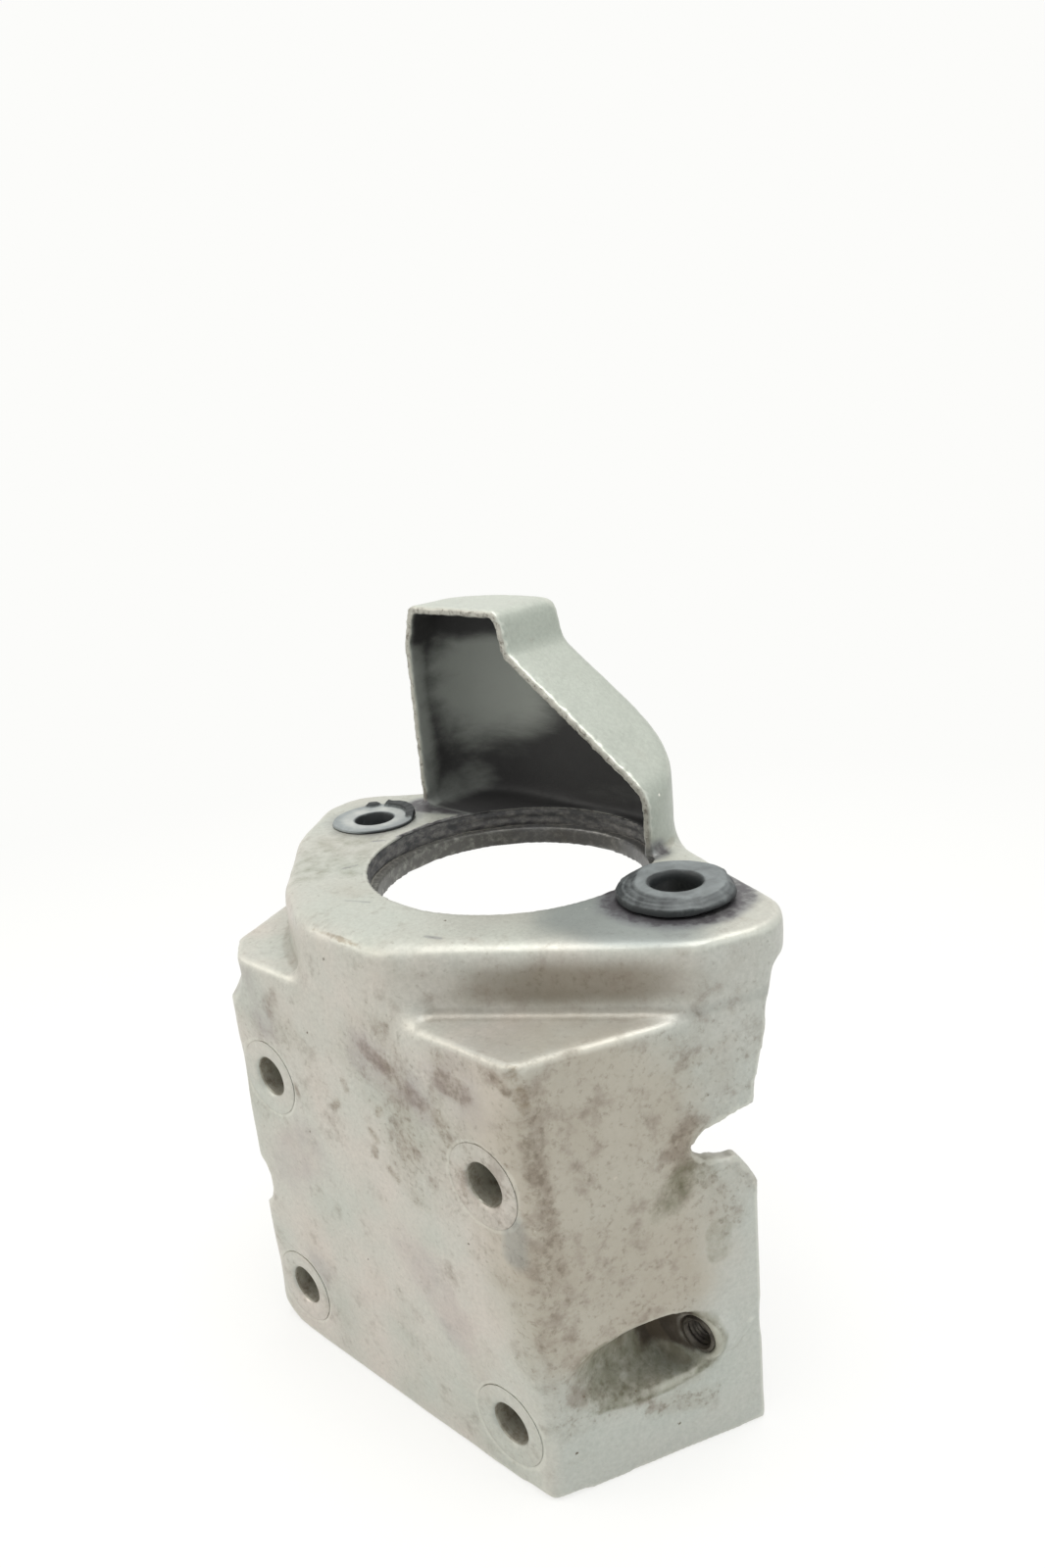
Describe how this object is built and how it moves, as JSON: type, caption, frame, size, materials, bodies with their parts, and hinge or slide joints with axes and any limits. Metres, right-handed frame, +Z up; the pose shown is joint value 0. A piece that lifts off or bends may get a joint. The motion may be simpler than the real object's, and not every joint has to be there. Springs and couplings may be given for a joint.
{
  "type": "hooded isolator-mounted housing",
  "caption": "Open-backed cast grey housing with a hooded round opening, rubber isolators beside it, a flat bolting face with steel bushes and a cable gap in one side.",
  "frame": {"origin": "middle of the flat base, under the middle of the bolting face's width and half way back along the body", "axes": "+X to the right along the bolting face, +Y back from the bolting face to the open back, +Z up through the round opening"},
  "size_m": [0.1252, 0.0813, 0.1533],
  "materials": {
    "casting": "worn satin grey",
    "rubber": "matte",
    "steel": "dull"
  },
  "bodies": {
    "root": {"body_left": "casting", "body_middle": "casting", "body_right": "casting", "deck": "casting", "hood": "casting", "opening_seal": "rubber", "isolator_right": "rubber", "isolator_left": "rubber", "bush_upper_left": "steel", "bush_upper_right": "steel", "bush_lower_left": "steel", "bush_lower_right": "steel", "side_insert_right": "steel", "side_insert_left": "steel"}
  },
  "joints": []
}
